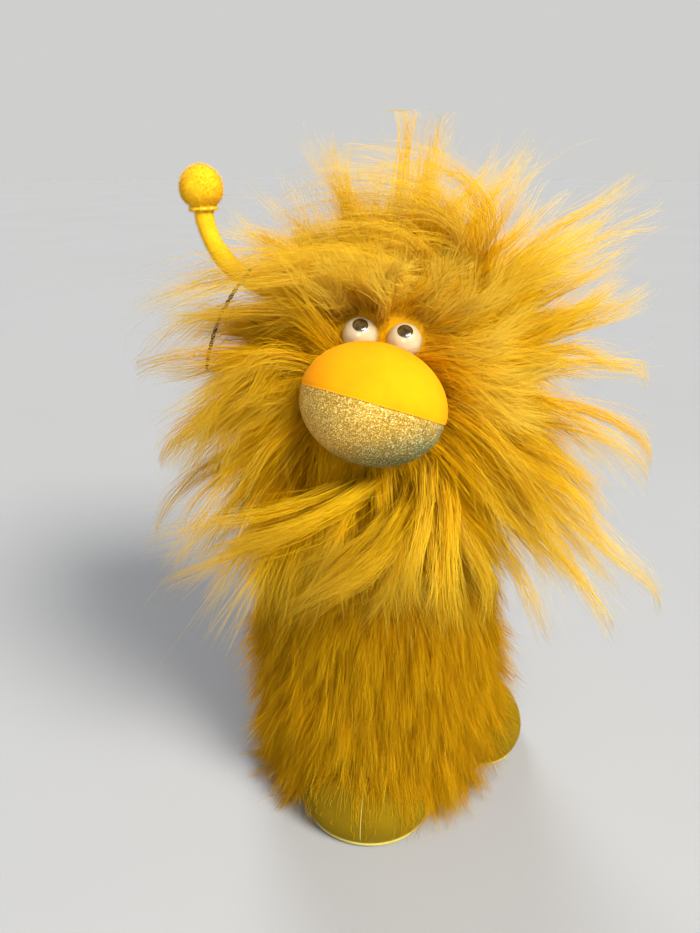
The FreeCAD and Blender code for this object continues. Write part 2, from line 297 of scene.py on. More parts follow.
def plain_cloth_material(name, light, dark, scale=900.0):
    m = Nodes(name)
    weave = m.noise(scale, 2.0)
    m.colour(m.ramp(weave, [(0.3, dark), (0.7, light)]))
    m.bump(weave, 0.4, 0.0003)
    m.set(Roughness=0.9)
    return m.material


def cord_material():
    m = Nodes("dark_cord")
    m.colour(m.ramp(m.noise(1500.0, 3.0), [(0.3, (0.02, 0.009, 0.004)), (0.75, (0.12, 0.055, 0.025))]))
    m.bump(m.noise(2500.0, 2.0), 0.4, 0.0002)
    m.set(Roughness=0.7, Sheen_Weight=0.2)
    return m.material


def floor_material():
    m = Nodes("floor")
    m.colour(m.ramp(m.noise(3.0, 3.0), [(0.3, (0.327, 0.333, 0.344)), (0.7, (0.338, 0.345, 0.357))]))
    m.set(Roughness=1.0, Specular_IOR_Level=0.0)
    return m.material


# ------------------------------------------------------------------ meshes


def add_piece(name, points, faces, material, body, level=0):
    """A smooth-shaded piece that rides on a body, rounded by level rounds of subdivision."""
    mesh = bpy.data.meshes.new(name)
    mesh.from_pydata([tuple(p) for p in points], [], faces)
    mesh.update()
    mesh.polygons.foreach_set("use_smooth", np.ones(len(mesh.polygons), bool))
    mesh.materials.append(material)
    piece = bpy.data.objects.new(name, mesh)
    bpy.context.scene.collection.objects.link(piece)
    if level:
        subdivision = piece.modifiers.new("rounding", "SUBSURF")
        subdivision.levels = level
        subdivision.render_levels = level
    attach(piece, body)
    return piece


def add_mesh(name, points, loops, starts, totals, material, body, attributes):
    """A large mesh from flat arrays."""
    mesh = bpy.data.meshes.new(name)
    mesh.vertices.add(len(points))
    mesh.vertices.foreach_set("co", np.ascontiguousarray(points, np.float32).ravel())
    mesh.loops.add(len(loops))
    mesh.loops.foreach_set("vertex_index", loops.astype(np.int32))
    mesh.polygons.add(len(starts))
    mesh.polygons.foreach_set("loop_start", starts.astype(np.int32))
    mesh.polygons.foreach_set("loop_total", totals.astype(np.int32))
    mesh.update(calc_edges=True)
    mesh.polygons.foreach_set("use_smooth", np.ones(len(starts), bool))
    for key, values in attributes.items():
        layer = mesh.attributes.new(key, "FLOAT", "POINT")
        layer.data.foreach_set("value", values.astype(np.float32))
    mesh.materials.append(material)
    piece = bpy.data.objects.new(name, mesh)
    bpy.context.scene.collection.objects.link(piece)
    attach(piece, body)
    return piece


def strands(name, paths, radii, shade, material, body):
    """Closed three-sided tapered strands along paths (strand, step, xyz)."""
    count, steps, _ = paths.shape
    along = unit(np.gradient(paths, axis=1))
    guide = unit(np.cross(along, unit(np.array([[[0.31, 0.87, 0.39]]]) + 0 * along)))
    other = np.cross(along, guide)
    rings = steps - 1
    angles = np.array([0.0, 2.0944, 4.18879])[None, None, :, None]     # thirds of a turn
    round_it = np.cos(angles) * guide[:, :rings, None, :] + np.sin(angles) * other[:, :rings, None, :]
    ring_points = paths[:, :rings, None, :] + radii[:, :rings, None, None] * round_it
    per = rings * 3 + 1
    points = np.concatenate([ring_points.reshape(count, rings * 3, 3), paths[:, -1:, :]], axis=1)
    quads = []
    for r in range(rings - 1):
        for k in range(3):
            n = (k + 1) % 3
            quads.append([r * 3 + k, r * 3 + n, r * 3 + 3 + n, r * 3 + 3 + k])
    triangles = [[2, 1, 0]]
    last = (rings - 1) * 3
    for k in range(3):
        triangles.append([last + k, last + (k + 1) % 3, per - 1])
    quads, triangles = np.array(quads), np.array(triangles)
    pattern = np.concatenate([quads.ravel(), triangles.ravel()])
    sizes = np.concatenate([np.full(len(quads), 4), np.full(len(triangles), 3)])
    first = np.concatenate([[0], np.cumsum(sizes)[:-1]])
    base = np.arange(count)[:, None]
    loops = (pattern[None, :] + base * per).ravel()
    starts = (first[None, :] + base * len(pattern)).ravel()
    totals = np.tile(sizes, count)
    t = np.concatenate([np.repeat(np.linspace(0, 1, steps)[:rings], 3), [1.0]])
    attributes = {"along": np.tile(t, count), "shade": np.repeat(shade, per)}
    return add_mesh(name, points.reshape(-1, 3), loops, starts, totals, material, body, attributes)


# ------------------------------------------------------------------ hair

LOCK_STEPS = 14
LOCKS, FINE_GUIDES, UNDERCOAT_HAIRS, WISPS, DOWN_HAIRS = 620, 4200, 67000, 25500, 17000
BODY_GUIDES, BODY_UNDERCOAT_HAIRS, BODY_WISPS = 2600, 60000, 16000


def grow(roots, heading, length, pull, rng, curl):
    """Guide lines: each starts along its heading and bends towards pull(points) as it grows."""
    count = len(roots)
    points = [roots]
    spin = unit(rng.normal(size=(count, 3)))
    swirl = rng.normal(scale=curl, size=count)[:, None]
    direction = unit(heading)
    for _ in range(LOCK_STEPS):
        direction = unit(direction + pull(points[-1]) / LOCK_STEPS + swirl / LOCK_STEPS * np.cross(spin, direction))
        points.append(points[-1] + direction * (length / LOCK_STEPS)[:, None])
    return np.stack(points, axis=1)


def follow(roots, guides, rng, clump, frizz, length_low, length_high, steps):
    """Strands that start at roots and gather onto the nearest guide towards its tip, and each one's guide."""
    guide_roots = guides[:, 0]
    nearest = np.empty(len(roots), int)
    for start in range(0, len(roots), 4000):
        part = roots[start:start + 4000]
        gap = ((part[:, None, :] - guide_roots[None, :, :]) ** 2).sum(-1)
        nearest[start:start + 4000] = gap.argmin(1)
    count = len(roots)
    share = rng.uniform(length_low, length_high, count)
    t = np.linspace(0, 1, steps)[None, :] * share[:, None]
    position = np.clip(t * (guides.shape[1] - 1), 0, guides.shape[1] - 1.001)
    whole = position.astype(int)
    part = (position - whole)[..., None]
    own = guides[nearest]
    index = np.arange(count)[:, None]
    line = own[index, whole] * (1 - part) + own[index, whole + 1] * part
    offset = roots - guide_roots[nearest]
    gather = clump[:, None] * smooth(t, 0.0, 1.0)
    paths = line + offset[:, None, :] * (1 - gather)[..., None]
    wave = rng.normal(size=(count, 1, 3))
    phase, rate = rng.uniform(0, 6.28, (count, 1, 1)), rng.uniform(2.5, 6.5, (count, 1, 1))
    t, frizz = t[..., None], frizz[:, None, None]
    paths += frizz * t * wave + 0.35 * frizz * np.sin(rate * t + phase) * t * wave[..., ::-1]
    return paths, nearest


def skull_surface(count, rng, lift=1.0):
    """Evenly spread points and normals on the stuffed head."""
    k = np.arange(count) + 0.5
    height = 1 - 2 * k / count
    angle = np.pi * (1 + 5 ** 0.5) * k
    ring = np.sqrt(1 - height ** 2)
    ball = np.stack([ring * np.cos(angle), ring * np.sin(angle), height], axis=1)
    ball = unit(ball + rng.normal(scale=1.1 / math.sqrt(count), size=ball.shape))
    return SKULL_AT + ball * SKULL * lift, unit(ball / SKULL)


def out_of_ball(points, centre, half, rotation=None):
    """Moves points that lie inside an ellipsoid to its surface."""
    local = points - centre
    if rotation is not None:
        local = local @ rotation
    size = np.linalg.norm(local / half, axis=-1, keepdims=True)
    local = np.where(size < 1, local / np.maximum(size, 1e-6), local)
    if rotation is not None:
        local = local @ rotation.T
    return local + centre


def pile_radius(z):
    """Radius of the body's coat at height z."""
    return np.interp(z, [0, 22 * MM, 60 * MM, 100 * MM, 123 * MM, BODY_TOP],
                     [61.5 * MM, PILE_R, 63.5 * MM, 60 * MM, 47 * MM, 25 * MM])


def skin_radius(z):
    """Radius of the stuffed body at height z."""
    return np.interp(z, [0, 20 * MM, 60 * MM, 105 * MM, 124 * MM, 134 * MM],
                     [42.5 * MM, 45 * MM, BODY_SKIN_R, 43 * MM, 35 * MM, 23 * MM])


def out_of_body(points, share):
    """Keeps the head's hair outside the body's coat."""
    radius = np.linalg.norm(points[..., :2], axis=-1)
    least = np.where(points[..., 2] < BODY_TOP, pile_radius(points[..., 2]) * share, 0)
    push = np.maximum(least / np.maximum(radius, 1e-5), 1)
    points[..., 0] *= push
    points[..., 1] *= push
    return points


def inside(paths, centre, half, rotation=None):
    """Which points of the paths are in an ellipsoid."""
    local = paths - centre
    if rotation is not None:
        local = local @ rotation
    return np.linalg.norm(local / half, axis=-1) < 1


def clear_of_face(paths):
    """Which strands keep out of the snout, the eyes and the view from the eyes."""
    hit = inside(paths, SNOUT_AT, SNOUT_HALF * 1.01, SNOUT_TURN).any(axis=1)
    for at in EYES.values():
        hit |= inside(paths, at, np.full(3, EYE_R * 1.08)).any(axis=1)
        sight = at + np.array([0, -14, 9]) * MM
        hit |= inside(paths, sight, np.array([6.5, 15, 7.5]) * MM).any(axis=1)
    return ~hit


def over_brow(paths):
    """Which strands from higher on the head hang over the forehead."""
    room = inside(paths, np.array([-3, -54, 239]) * MM, np.array([24, 16, 13]) * MM).any(axis=1)
    return room & (brow_area(paths[:, 0]) < 0.55)


def hollow(paths):
    """Which strands keep out of the parting that leads to the left antenna's ball."""
    low, high = span("antenna_left_ball")
    ball = (np.array(low) + np.array(high)) / 2
    line = unit(np.array([-0.23, -0.95, 0.22]))
    local = paths - ball
    ahead = local @ line
    off = np.linalg.norm(local - ahead[..., None] * line, axis=-1)
    return ~((off < 5 * MM) & (ahead > 0) & (ahead < 45 * MM)).any(axis=1)


def within_reach(paths):
    """Bends the longest hairs back inside the room that the coat may take."""
    for axis in range(3):
        for sign, limit in ((1, REACH_HIGH[axis]), (-1, -REACH_LOW[axis])):
            over = sign * paths[..., axis] - (limit - REACH_BEND)
            bent = limit - REACH_BEND + REACH_BEND * np.tanh(over / REACH_BEND)
            paths[..., axis] = np.where(over > 0, sign * bent, paths[..., axis])
    return paths


def collar(roots, rng, steps):
    """Short soft hair that lies away from the face, for roots whose long hair would cross it."""
    normal = unit((roots - SKULL_AT) / SKULL ** 2)
    away = roots - FACE_AT
    away = unit(away - (away * normal).sum(-1, keepdims=True) * normal)
    heading = unit(away + normal * 0.45 + rng.normal(scale=0.22, size=roots.shape))
    length = rng.uniform(14, 26, (len(roots), 1, 1)) * MM
    t = np.linspace(0, 1, steps)[None, :, None]
    bend = unit(rng.normal(size=roots.shape))[:, None, :] * 3 * MM * t * t
    return roots[:, None, :] + t * length * heading[:, None, :] + bend


FACE_AT = SNOUT_AT + np.array([0, 0, 6 * MM])
REACH_LOW = np.array([-100.0, -95.0, -1.0]) * MM
REACH_HIGH = np.array([104.5, 95.0, 292.0]) * MM
REACH_BEND = 9 * MM                        # how far before the limit the hair starts to bend
DOWN = np.array([0, 0, -1.0])


def drift(points, scale, seed):
    """Smooth random vectors over space, so that hair that grows close together leans the same way."""
    rng = np.random.default_rng(seed)
    total = np.zeros_like(points)
    for octave in range(3):
        wave = rng.normal(size=(3, 3)) / scale * (1.0 + 0.6 * octave)
        phase = rng.uniform(0, 2 * np.pi, 3)
        amount = rng.normal(size=(3, 3))
        total += np.sin(points @ wave + phase) @ amount
    return total / 3


def brow_area(points):
    """1 over the eyes, fading to 0 round them."""
    across = (points[:, 0] + 3 * MM) / (26 * MM)
    upward = (points[:, 2] - 232 * MM) / (17 * MM)
    return np.exp(-across ** 2 - upward ** 2) * (points[:, 1] < 0)


def mane_heading(points, normals, rng):
    """Hair parts from the face: up over the crown, out at the sides, down at the back and chin."""
    away = points - FACE_AT
    away -= (away * normals).sum(-1, keepdims=True) * normals
    away = unit(away)
    back = smooth(points[:, 1:2], -0.1 * SKULL[1], 0.7 * SKULL[1])
    fall = unit(DOWN - (normals @ DOWN)[:, None] * normals)
    crown = smooth(points[:, 2:3], SKULL_AT[2] + 0.40 * SKULL[2], SKULL_AT[2] + 0.95 * SKULL[2])
    side = np.sign(points[:, 0:1] - FACE_AT[0]) * np.array([1.0, 0, 0])
    chin = smooth(SKULL_AT[2] - points[:, 2:3], 0.1 * SKULL[2], 0.8 * SKULL[2]) * (1 - back)
    flow = unit(away * (1 - back) + fall * back + 0.15 * DOWN * (1 - crown) + 0.55 * side * chin)
    brow = brow_area(points)[:, None]
    heading = normals * (0.55 + 0.6 * crown) * (1 - 0.6 * brow) + flow * (1.0 - 0.6 * crown * (1 - brow))
    heading += 0.42 * drift(points, 22 * MM, 3) + rng.normal(scale=0.12, size=heading.shape)
    return unit(heading), crown[:, 0], back[:, 0]


def near_face(points):
    """Which points of the skin are under the snout or eyes."""
    local = ((points - SNOUT_AT) @ SNOUT_TURN) / SNOUT_HALF
    under = np.linalg.norm(local, axis=1) < 1.0
    for at in EYES.values():
        under |= np.linalg.norm(points - at, axis=1) < EYE_R * 1.05
    return under


# Locks that give the mane its outline, each a route in millimetres from the scalp to the tip.
SIDE_LOCKS = [
    [(38, -20, 215), (65, -25, 232), (92, -5, 243)],
    [(42, -15, 205), (70, -25, 222), (94, -5, 226)],
    [(42, -18, 195), (74, -30, 208), (90, -12, 182)],
    [(38, -28, 185), (72, -45, 182), (99, -25, 144)],
    [(34, -32, 175), (64, -50, 170), (88, -35, 127)],
    [(30, -32, 168), (60, -55, 160), (90, -32, 110)],
    [(24, -34, 165), (45, -60, 156), (66, -50, 112)],
    [(28, -34, 180), (55, -55, 172), (76, -46, 140)],
    [(36, -26, 200), (62, -40, 196), (88, -28, 160)],
    [(-36, -25, 185), (-60, -42, 192), (-76, -38, 158)],
    [(-32, -32, 194), (-50, -52, 200), (-70, -45, 160)],
    [(-30, -34, 204), (-52, -50, 214), (-74, -36, 178)],
    [(-40, -15, 204), (-68, -25, 210), (-97, 5, 192)],
    [(-40, -10, 190), (-72, -15, 188), (-97, 5, 158)],
    [(-38, -10, 174), (-68, -20, 168), (-93, 5, 132)],
    [(-42, -12, 212), (-66, -20, 222), (-92, 2, 216)],
    [(40, -8, 222), (56, -16, 236), (76, -8, 234)],
    [(42, -6, 218), (60, -14, 230), (82, 0, 238)],
]
BEARD_LOCKS = [
    [(0, -38, 170), (-10, -84, 176), (-44, -76, 160), (-62, -64, 146)],
    [(-4, -38, 168), (-20, -82, 172), (-52, -70, 162), (-76, -52, 146)],
    [(8, -38, 166), (10, -84, 168), (-14, -82, 150), (-30, -74, 134)],
    [(8, -38, 165), (8, -84, 166), (-20, -80, 148), (-38, -70, 136)],
    [(16, -36, 172), (18, -80, 176), (14, -82, 154), (15, -72, 132)],
    [(6, -38, 164), (10, -84, 162), (6, -82, 146), (-2, -72, 126)],
    [(-28, -32, 184), (-48, -56, 184), (-66, -56, 160), (-74, -48, 136)],
    [(-30, -34, 206), (-42, -52, 210), (-46, -54, 190), (-52, -50, 172)],
    [(-32, -32, 204), (-50, -48, 210), (-62, -50, 186), (-70, -46, 164)],
    [(18, -36, 164), (34, -68, 166), (46, -70, 148), (50, -64, 124)],
    [(20, -36, 170), (38, -64, 176), (58, -66, 160), (66, -54, 130)],
    [(24, -34, 176), (46, -60, 184), (72, -58, 166), (86, -42, 132)],
]
CROWN_LOCKS = [
    [(24, -22, 232), (32, -32, 258), (0, -34, 264), (-38, -28, 253)],
    [(18, -22, 235), (24, -32, 256), (-10, -33, 259), (-54, -26, 244)],
    [(8, -20, 237), (8, -31, 255), (-26, -32, 257), (-64, -20, 237)],
    [(-14, -24, 234), (-26, -33, 247), (-48, -31, 246), (-76, -18, 226)],
    [(-24, -28, 225), (-40, -38, 236), (-60, -33, 233), (-82, -16, 206)],
    [(28, -12, 233), (38, -22, 264), (4, -25, 271), (-30, -14, 260)],
    [(-8, -10, 240), (-12, -12, 262), (-17, -8, 281)],
    [(4, -10, 242), (8, -12, 266), (7, 0, 289)],
    [(14, -8, 240), (24, -8, 260), (38, 6, 274)],
    [(28, -8, 232), (45, -10, 252), (60, 0, 262)],
    [(34, -10, 226), (56, -12, 242), (80, 5, 252)],
    [(30, -22, 226), (48, -32, 246), (72, -20, 250)],
    [(-26, -8, 234), (-38, -8, 252), (-50, 0, 262)],
]
BROW_LOCKS = [
    [(-4, -38, 228), (-8, -46, 236), (-13, -48, 245)],
    [(-3, -38, 228), (-4, -47, 237), (-6, -49, 246)],
    [(-1, -38, 228), (2, -47, 236), (5, -49, 244)],
    [(-14, -35, 227), (-20, -44, 234), (-26, -46, 243)],
    [(10, -36, 227), (16, -46, 234), (22, -48, 243)],
    [(16, -36, 222), (26, -46, 228), (34, -48, 238)],
    [(18, -38, 214), (32, -48, 218), (44, -48, 226)],
    [(20, -38, 206), (36, -50, 208), (50, -50, 212)],
    [(22, -38, 196), (38, -52, 196), (54, -52, 194)],
]


COPIES = 3
SIDE_END = COPIES * len(SIDE_LOCKS)
BEARD_END = SIDE_END + COPIES * len(BEARD_LOCKS)
SWEPT_END = BEARD_END + COPIES * 6         # the crown's first six locks lie across it
CROWN_END = BEARD_END + COPIES * len(CROWN_LOCKS)


def route(points):
    """A smooth curve through a lock's route, as a Bezier of its points."""
    points = np.array(points, float) * MM
    t = np.linspace(0, 1, LOCK_STEPS + 1)[:, None]
    order = len(points) - 1
    return sum(math.comb(order, k) * t ** k * (1 - t) ** (order - k) * points[k] for k in range(order + 1))


def shaped_locks(rng):
    """Each shaped lock in copies, a little apart, and how many wisps each gets beside an ordinary lock."""
    lines, weight = [], []
    t = np.linspace(0, 1, LOCK_STEPS + 1)[:, None]
    for locks, share, spread in ((SIDE_LOCKS, 1.6, 7), (BEARD_LOCKS, 1.6, 6),
                                 (CROWN_LOCKS, 1.3, 8), (BROW_LOCKS, 3.0, 2)):
        for points in locks:
            for _ in range(COPIES):
                aside = rng.normal(size=3) * spread * MM * (0.4 + t)
                wave = 2.2 * MM * t * np.sin(7 * t + rng.uniform(0, 6, 3))
                lines.append(route(points) + (aside + wave))
                weight.append(share)
    return np.stack(lines), np.array(weight)


def mane_length(points, crown, back, rng):
    """Hair is longest on the cheeks and sides, short over the eyes."""
    brow = brow_area(points)
    cheek = np.exp(-((points[:, 2] - 172 * MM) / (28 * MM)) ** 2)
    chin = np.exp(-((points[:, 2] - 140 * MM) / (16 * MM)) ** 2) * (points[:, 1] < -8 * MM)
    length = (50 - 19 * crown + 22 * cheek * (1 - 0.4 * back) - 30 * brow - 20 * chin) * MM
    return length * rng.uniform(0.75, 1.12, len(points))


def mane_pull(points):
    """Hair hangs, but for the crown's."""
    high_up = smooth(points[:, 2:3], SKULL_AT[2] + 0.2 * SKULL[2], MANE_TOP - 15 * MM)
    return DOWN * (0.95 - 0.9 * high_up)


def tube_set(name, body, roots, paths, width, shade, parts, material):
    """Strands split into pieces by the angle that their roots lie at."""
    taper = 1 - 0.8 * np.linspace(0, 1, paths.shape[1]) ** 1.5
    order = np.argsort(np.arctan2(roots[:, 0], -roots[:, 1]), kind="stable")
    for index, part in enumerate(np.array_split(order, parts)):
        piece = strands(f"{name}_{index}", paths[part], width[part, None] * taper, shade[part], material, body)


def mane(undercoat, guard):
    """The head's long hair: a soft undercoat, and pale wavy locks that run out in forked points."""
    rng = np.random.default_rng(11)
    roots, normals = skull_surface(LOCKS, rng)
    heading, crown, back = mane_heading(roots, normals, rng)
    length = mane_length(roots, crown, back, rng)
    broad = grow(roots, heading, length, mane_pull, rng, curl=0.9)
    shaped, weight = shaped_locks(rng)
    gap = np.linalg.norm(roots[:, None] - shaped[None, :, 0], axis=2).min(axis=1)
    broad = np.concatenate([shaped, broad[gap > 6 * MM]])
    lock_shade = rng.normal(0.5, 0.12, len(broad))
    lock_shade[:len(shaped)] += 0.1
    # Painted light: the brow locks are coloured lighter. Painted shade: the beard locks under the snout are coloured
    # darker.
    lock_shade[CROWN_END:len(shaped)] += 0.3
    lock_shade[SIDE_END:BEARD_END] -= 0.25
    mane_undercoat(broad, lock_shade, undercoat, rng)
    weight = np.concatenate([weight, np.ones(len(broad) - len(shaped))])
    mane_wisps(broad, len(shaped), weight, lock_shade, guard, rng)


def mane_undercoat(broad, lock_shade, material, rng):
    """Dense hair that follows fine guides, which follow all locks but the beard's and those across the crown."""
    followed = np.concatenate([np.arange(SIDE_END), np.arange(SWEPT_END, len(broad))])
    fine_roots, _ = skull_surface(FINE_GUIDES, rng)
    fine, fine_lock = follow(fine_roots, broad[followed], rng, rng.uniform(0.2, 0.6, len(fine_roots)),
                             rng.uniform(3, 8, len(fine_roots)) * MM, 0.62, 0.9, steps=12)
    roots, _ = skull_surface(UNDERCOAT_HAIRS, rng)
    roots = roots[~near_face(roots)]
    clump = rng.uniform(0.05, 0.5, len(roots))
    frizz = rng.uniform(1.0, 4.5, len(roots)) * MM
    paths, nearest = follow(roots, fine, rng, clump, frizz, 0.5, 1.0, steps=5)
    crossing = ~clear_of_face(paths) | over_brow(paths)
    paths[crossing] = collar(roots[crossing], rng, 5)
    clear = clear_of_face(paths) & hollow(paths)
    roots, paths, nearest = roots[clear], within_reach(out_of_body(paths[clear], 0.93)), nearest[clear]
    # Painted shade: the hair is darker towards the bottom of the head. Painted light: it is brighter over the brow.
    low = smooth(160 * MM - roots[:, 2], -20 * MM, 20 * MM)
    shade = lock_shade[followed][fine_lock[nearest]] - 0.45 * low + 0.5 * brow_area(roots)
    shade = np.clip(shade + rng.normal(0, 0.15, len(roots)), 0, 1)
    width = rng.uniform(0.07, 0.13, len(roots)) * MM
    tube_set("mane_undercoat", "head", roots, paths, width, shade, 9, material)


def mane_wisps(broad, shaped_count, weight, lock_shade, material, rng):
    """Thin pale hair gathered into the locks, each lock forked at its tip, with some hairs loose."""
    near = rng.choice(len(broad), WISPS, p=weight / weight.sum())
    tuft = rng.uniform(1.5, 4.5, len(broad))[near, None] * MM
    roots = broad[near, 0] + rng.normal(size=(WISPS, 3)) * tuft
    roots = out_of_ball(roots, SKULL_AT, SKULL * 0.99)
    kept = ~near_face(roots)
    roots, near = roots[kept], near[kept]
    count = len(roots)
    clump = np.where(near < BEARD_END, rng.uniform(0.65, 1.0, count), rng.uniform(0.5, 0.95, count))
    loose = rng.random(count) < 0.2
    clump[loose] *= 0.3
    frizz = np.where(loose, 8.0, 2.0) * MM * rng.uniform(0.3, 1.2, count)
    paths, near = follow(roots, broad, rng, clump, frizz, 0.8, 1.12, steps=7)
    fork = rng.normal(size=(len(broad), 5, 3)) * 5.0 * MM
    fork[:BEARD_END] *= 0.35
    fork[BEARD_END:shaped_count] *= 0.7
    spread = smooth(np.linspace(0, 1, 7), 0.4, 1.0)[None, :, None]
    paths = paths + spread * fork[near, rng.integers(0, 5, count)][:, None, :]
    clear = clear_of_face(paths) & hollow(paths) & ~over_brow(paths)
    roots, near, loose = roots[clear], near[clear], loose[clear]
    paths = within_reach(out_of_body(paths[clear], 0.96))
    # The lock shade values carry the painted light of the brow locks and the painted shade of the beard locks.
    shade = np.clip(lock_shade[near] + rng.normal(0.1, 0.14, len(roots)), 0, 1)
    width = rng.uniform(0.07, 0.12, len(roots)) * MM
    width[loose] *= 0.75
    tube_set("mane_wisps", "head", roots, paths, width, shade, 5, material)


def down(material):
    """Short soft hair all over the head, which fills the partings between the locks."""
    rng = np.random.default_rng(31)
    roots, normals = skull_surface(DOWN_HAIRS, rng, lift=1.07)
    away = ~near_face(roots)
    roots, normals = roots[away], normals[away]
    heading = unit(normals + rng.normal(scale=0.5, size=roots.shape) + 0.2 * DOWN)
    t = np.linspace(0, 1, 3)[None, :, None]
    length = rng.uniform(9, 19, len(roots))[:, None, None] * MM
    bend = unit(rng.normal(size=roots.shape))[:, None, :] * 4 * MM * t * t
    paths = roots[:, None, :] + t * length * heading[:, None, :] + bend
    clear = clear_of_face(paths) & hollow(paths)
    roots, paths = roots[clear], out_of_body(paths[clear], 0.93)
    count = len(roots)
    # Painted light: the down is brighter over the brow.
    shade = np.clip(rng.normal(0.55, 0.2, count) + 0.3 * brow_area(roots), 0, 1)
    width = rng.uniform(0.08, 0.14, count) * MM
    tube_set("mane_down", "head", roots, paths, width, shade, 2, material)


def body_surface(count, rng):
    """Random points and normals on the stuffed body, even in area."""
    z = rng.uniform(2 * MM, 132 * MM, count)
    angle = rng.uniform(0, 2 * np.pi, count)
    keep = rng.random(count) < skin_radius(z) / BODY_SKIN_R
    z, angle = z[keep], angle[keep]
    normal = np.stack([np.cos(angle), np.sin(angle), 0 * z], axis=1)
    slope = (skin_radius(z + 2 * MM) - skin_radius(z - 2 * MM)) / (4 * MM)
    points = normal * skin_radius(z)[:, None]
    points[:, 2] = z
    normal[:, 2] = -slope
    return points, unit(normal)


def off_feet(paths):
    """Hair from above a foot lies on it, and none grows in it. Also returns which strands stay."""
    stay = np.ones(len(paths), bool)
    for side in ("right", "left"):
        direction = foot_turn(side)
        middle = FOOT_MIDDLE[side] @ direction.T
        hidden = inside(paths, middle, FOOT_HALF, direction)
        local = paths[:, 0] @ direction
        below = (local[:, 2] < 19 * MM) & (np.abs(local[:, 1]) < FOOT_HALF[1] * 0.96) & (local[:, 0] > 0)
        stay &= ~(hidden.any(axis=1) & below)
        stay &= hidden.sum(axis=1) < 4
        paths = out_of_ball(paths, middle, FOOT_HALF * 1.04, direction)
    paths[..., 2] = np.maximum(paths[..., 2], 0.8 * MM)
    return paths, stay


def body_coat(undercoat, guard):
    """Short hair combed down the body: a fuzzy undercoat and thin pale points."""
    rng = np.random.default_rng(23)
    lock_roots, normals = body_surface(BODY_GUIDES, rng)
    hem = smooth(45 * MM - lock_roots[:, 2:3], 0, 45 * MM)
    heading = unit(normals * (1.35 + 1.1 * hem) + DOWN * 0.7 + 0.32 * drift(lock_roots, 34 * MM, 8)
                   + rng.normal(scale=0.10, size=normals.shape))
    length = rng.uniform(21, 37, len(lock_roots)) * MM
    guides = grow(lock_roots, heading, length, lambda points: DOWN, rng, curl=0.4)
    lock_shade = rng.normal(0.5, 0.12, len(guides)) + 0.16 * drift(lock_roots, 16 * MM, 5)[:, 0]
    for name, total, gather, curl, reach, steps, parts, material in (
            ("body_undercoat", BODY_UNDERCOAT_HAIRS, (0.0, 0.3), (0.8, 3.0), (0.55, 0.98), 4, 6, undercoat),
            ("body_wisps", BODY_WISPS, (0.3, 0.9), (0.8, 3.2), (0.8, 1.2), 5, 2, guard)):
        roots, _ = body_surface(total, rng)
        clump = rng.uniform(*gather, len(roots))
        frizz = rng.uniform(*curl, len(roots)) * MM
        paths, nearest = follow(roots, guides, rng, clump, frizz, *reach, steps=steps)
        paths, stay = off_feet(paths)
        roots, paths, nearest = roots[stay], paths[stay], nearest[stay]
        shade = np.clip(lock_shade[nearest] + rng.normal(0, 0.14, len(roots)), 0, 1)
        width = rng.uniform(0.06, 0.11, len(roots)) * MM
        tube_set(name, "body", roots, paths, width, shade, parts, material)


def foot_turn(side):
    """The turn from a foot's own axes, toe along x, to where it points."""
    at, _ = joint(f"foot_{side}_lift")
    angle = math.atan2(at[1], at[0])
    return turn(math.degrees(angle), "Z")


# ------------------------------------------------------------------ solid pieces


def ring_faces(rows, around):
    """The quads between rows of points, where each row is a closed ring."""
    return [(r * around + k, r * around + (k + 1) % around, (r + 1) * around + (k + 1) % around, (r + 1) * around + k)
            for r in range(rows - 1) for k in range(around)]


def tube_faces(rows, around):
    """A closed tube's faces: rings of points, then the middle of the first ring and of the last."""
    faces = ring_faces(rows, around)
    start, last = rows * around, (rows - 1) * around
    for k in range(around):
        n = (k + 1) % around
        faces += [(start, n, k), (start + 1, last + k, last + n)]
    return faces


def ball_grid(half, rings, around, shape=lambda ball: np.ones(len(ball))):
    """A closed ellipsoid of rings; shape(unit direction) scales it point by point."""
    polar = np.linspace(0, np.pi, rings + 1)[1:-1]
    angle = np.linspace(0, 2 * np.pi, around, endpoint=False)
    p, a = np.meshgrid(polar, angle, indexing="ij")
    ball = np.stack([np.sin(p) * np.cos(a), np.sin(p) * np.sin(a), np.cos(p)], axis=-1).reshape(-1, 3)
    ball = np.concatenate([[[0, 0, 1]], ball, [[0, 0, -1]]])
    points = ball * half * shape(ball)[:, None]
    faces = []
    for r in range(rings - 2):
        for k in range(around):
            n = (k + 1) % around
            faces.append((1 + r * around + k, 1 + (r + 1) * around + k,
                          1 + (r + 1) * around + n, 1 + r * around + n))
    for k in range(around):
        n = (k + 1) % around
        faces.append((0, 1 + k, 1 + n))
        bottom = 1 + (rings - 2) * around
        faces.append((len(points) - 1, bottom + n, bottom + k))
    return points, faces


